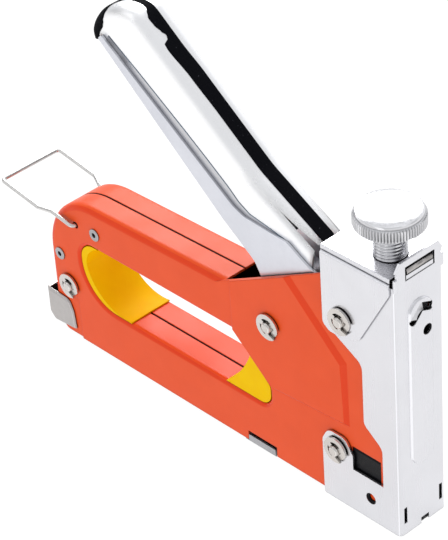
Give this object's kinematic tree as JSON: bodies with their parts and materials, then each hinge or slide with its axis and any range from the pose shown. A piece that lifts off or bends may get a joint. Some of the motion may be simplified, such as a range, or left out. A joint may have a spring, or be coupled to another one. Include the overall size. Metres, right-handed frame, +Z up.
{
  "type": "staple gun",
  "caption": "Hand-squeezed staple gun with a sheet-steel body, a finger loop, a sprung lever, a knurled power knob and a bottom-loading staple track",
  "frame": {"origin": "On the sole of the nose, in the mirror plane, just behind the slot that the staple leaves by", "axes": "+Z up along the driver's stroke, +X forward to the nose's front plate, +Y to the tool's left; the mirror plane is y = 0"},
  "size_m": [0.1946, 0.0286, 0.1526],
  "materials": {
    "orange_paint": "semi-gloss orange paint",
    "bright_steel": "polished nickel plate",
    "zinc_steel": "satin zinc plate",
    "plain_steel": "plain oiled steel",
    "spring_steel": "drawn wire",
    "black_rubber": "matt black",
    "black_plastic": "moulded, satin",
    "yellow_plastic": "moulded, satin"
  },
  "bodies": {
    "body": {"left_shell": "orange_paint", "right_shell": "orange_paint", "nose_cover": "bright_steel", "nose_cap": "bright_steel", "top_plate": "bright_steel", "window_block": "black_plastic", "bumper": "black_rubber", "staple_guide": "plain_steel", "staple_track": "plain_steel", "track_clip": "plain_steel", "staple_strip": "plain_steel", "main_spring": "spring_steel", "pivot_pin": "zinc_steel", "cap_pin": "zinc_steel", "lower_pin": "zinc_steel", "rear_pin": "zinc_steel", "washers": "zinc_steel", "retaining_clips": "zinc_steel", "rear_rivets": "zinc_steel", "rear_finger_insert": "yellow_plastic", "front_finger_insert": "yellow_plastic", "return_spring": "spring_steel"},
    "lever": {"lever_arm": "zinc_steel", "lever_shell": "bright_steel", "lever_grip": "black_rubber", "lifter": "zinc_steel", "lifter_rivet": "zinc_steel", "pivot_sleeve": "zinc_steel"},
    "driver": {"striker": "plain_steel", "driver_blade": "plain_steel"},
    "seat": {"spring_seat": "plain_steel"},
    "knob": {"adjuster_screw": "zinc_steel", "adjuster_knob": "zinc_steel"},
    "loader": {"loader_rail": "plain_steel", "guide_rod": "plain_steel", "loader_block": "black_plastic", "loader_latch": "zinc_steel", "pusher_spring": "spring_steel"},
    "feeder": {"pusher": "black_plastic"},
    "bail": {"wire_bail": "spring_steel"}
  },
  "joints": [
    {"name": "lever_squeeze", "type": "hinge", "parent": "body", "child": "lever", "pos_m": [-0.0543, 0, 0.0578], "axis": [0, -1, 0], "range_deg": [0, 38], "stiffness_Nm_per_rad": 0.3, "springref_deg": -45.84, "deforming": ["return_spring"]},
    {"name": "driver_lift", "type": "slide", "parent": "body", "child": "driver", "axis": [0, 0, 1], "range_m": [0, 0.0225], "stiffness_N_per_m": 2500, "springref_m": -0.006, "deforming": ["main_spring"]},
    {"name": "power_adjust", "type": "slide", "parent": "body", "child": "seat", "axis": [0, 0, 1], "range_m": [-0.0045, 0.003], "deforming": ["main_spring"]},
    {"name": "knob_turn", "type": "hinge", "parent": "seat", "child": "knob", "pos_m": [-0.008, 0, 0.1172], "axis": [0, 0, 1], "range_deg": [-1085, 725]},
    {"name": "loader_pull", "type": "slide", "parent": "body", "child": "loader", "axis": [-1, 0, 0], "range_m": [0, 0.12]},
    {"name": "pusher_feed", "type": "slide", "parent": "loader", "child": "feeder", "axis": [-1, 0, 0], "range_m": [0, 0.05], "stiffness_N_per_m": 20, "springref_m": -0.03, "deforming": ["pusher_spring"]},
    {"name": "bail_swing", "type": "hinge", "parent": "body", "child": "bail", "pos_m": [-0.1536, 0, 0.0528], "axis": [0, -1, 0], "range_deg": [-80, 60]}
  ],
  "couplings": [
    {"joint": "driver_lift", "follows": "lever_squeeze", "m_per_rad": 0.032},
    {"joint": "knob_turn", "follows": "power_adjust", "rad_per_m": 4188.8}
  ]
}
